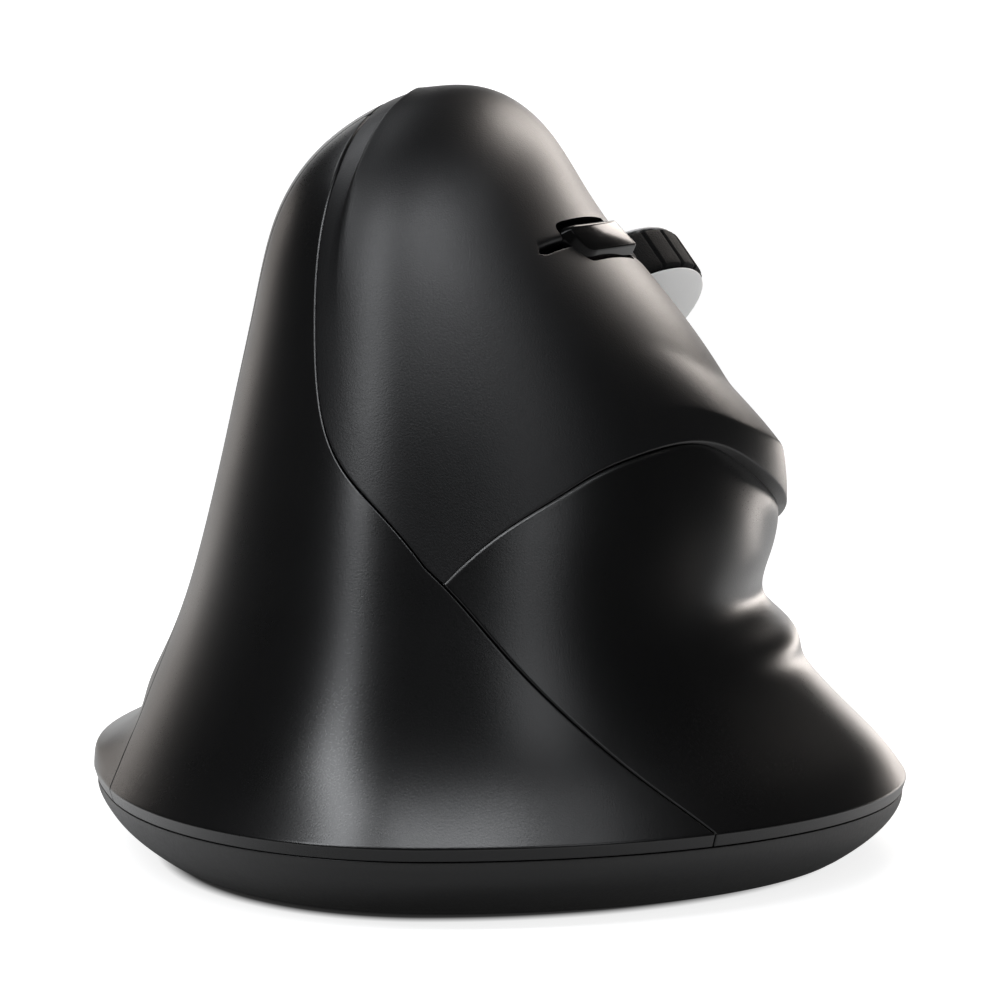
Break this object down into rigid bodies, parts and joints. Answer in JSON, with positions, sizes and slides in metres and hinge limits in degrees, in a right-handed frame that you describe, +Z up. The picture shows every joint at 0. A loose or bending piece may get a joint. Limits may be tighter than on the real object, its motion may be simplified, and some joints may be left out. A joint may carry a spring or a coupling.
{
  "type": "vertical computer mouse",
  "caption": "Right-handed vertical mouse with a tall palm shell, a flared foot, two long finger buttons, a scroll wheel and thumb keys.",
  "frame": {"origin": "on the table under the middle of the foot", "axes": "+X to the finger side, +Y forward away from the palm, +Z up"},
  "size_m": [0.0814, 0.116, 0.076],
  "materials": {
    "shell_black": "soft-touch matte with fine grain",
    "base_black": "satin moulded",
    "button_gloss": "polished",
    "thumb_black": "satin moulded",
    "wheel_rubber": "matte",
    "wheel_grey": "satin moulded",
    "steel": "plain",
    "part_grey": "moulded",
    "board_green": "solder mask",
    "chip_black": "moulded",
    "lens_clear": "clear",
    "led_red": "clear red",
    "frame_grey": "moulded",
    "cell_wrap": "wrapped",
    "slider_grey": "moulded",
    "receiver_black": "moulded",
    "glide_black": "slick",
    "ribbon": "film"
  },
  "bodies": {
    "case": {"base_tray": "base_black", "palm_shell": "shell_black", "thumb_shell": "shell_black", "finger_shell": "shell_black", "button_cover": "shell_black", "wheel_encoder": "part_grey", "wheel_switch": "part_grey", "index_switch": "part_grey", "middle_switch": "part_grey", "speed_switch": "part_grey", "button_board": "board_green", "main_board": "board_green", "controller_chip": "chip_black", "optical_sensor": "chip_black", "sensor_lens": "lens_clear", "sensor_led": "led_red", "chassis": "frame_grey", "thumb_board": "board_green", "thumb_switches": "part_grey", "battery_cell": "cell_wrap", "battery_contacts": "steel", "power_switch": "part_grey", "glide_feet": "glide_black", "case_screws": "steel", "board_screws": "steel", "flex_cable": "ribbon"},
    "wheel_frame": {"wheel_carrier": "part_grey"},
    "wheel": {"wheel_tyre": "wheel_rubber", "wheel_rim": "wheel_grey", "wheel_axle": "steel"},
    "index": {"index_button": "shell_black"},
    "middle": {"middle_button": "shell_black"},
    "speed": {"speed_button": "button_gloss"},
    "forward": {"forward_button": "thumb_black"},
    "back": {"back_button": "thumb_black"},
    "door": {"battery_door": "base_black"},
    "slider": {"power_slider": "slider_grey"},
    "receiver": {"usb_receiver": "receiver_black"}
  },
  "joints": [
    {"name": "wheel_click", "type": "slide", "parent": "case", "child": "wheel_frame", "axis": [-0.8466, -0.1341, -0.515], "range_m": [0, 0.0005], "stiffness_N_per_m": 1500, "springref_m": -0.0004},
    {"name": "wheel_spin", "type": "hinge", "parent": "wheel_frame", "child": "wheel", "pos_m": [0.01043, 0.01017, 0.05247], "axis": [0.5208, -0.4084, -0.7497], "continuous": true},
    {"name": "index_click", "type": "hinge", "parent": "case", "child": "index", "pos_m": [0.00387, -0.02448, 0.06041], "axis": [-0.5208, 0.4084, 0.7497], "range_deg": [0, 0.3], "stiffness_Nm_per_rad": 6, "springref_deg": -0.23},
    {"name": "middle_click", "type": "hinge", "parent": "case", "child": "middle", "pos_m": [0.00387, -0.02448, 0.06041], "axis": [-0.5208, 0.4084, 0.7497], "range_deg": [0, 0.3], "stiffness_Nm_per_rad": 6, "springref_deg": -0.23},
    {"name": "speed_press", "type": "slide", "parent": "case", "child": "speed", "axis": [-0.7494, 0.2435, -0.6157], "range_m": [0, 0.0004], "stiffness_N_per_m": 1500, "springref_m": -0.0004},
    {"name": "forward_press", "type": "slide", "parent": "case", "child": "forward", "axis": [0.9525, -0.2375, -0.1908], "range_m": [0, 0.0005], "stiffness_N_per_m": 1500, "springref_m": -0.0004},
    {"name": "back_press", "type": "slide", "parent": "case", "child": "back", "axis": [0.9525, -0.2375, -0.1908], "range_m": [0, 0.0005], "stiffness_N_per_m": 1500, "springref_m": -0.0004},
    {"name": "door_swing", "type": "hinge", "parent": "case", "child": "door", "pos_m": [0.0175, -0.0275, 0.0015], "axis": [-1, 0, 0], "range_deg": [0, 70]},
    {"name": "power_slide", "type": "slide", "parent": "case", "child": "slider", "axis": [0, 1, 0], "range_m": [0, 0.0025]},
    {"name": "receiver_pull", "type": "slide", "parent": "case", "child": "receiver", "axis": [0, 0, -1], "range_m": [0, 0.02]}
  ]
}
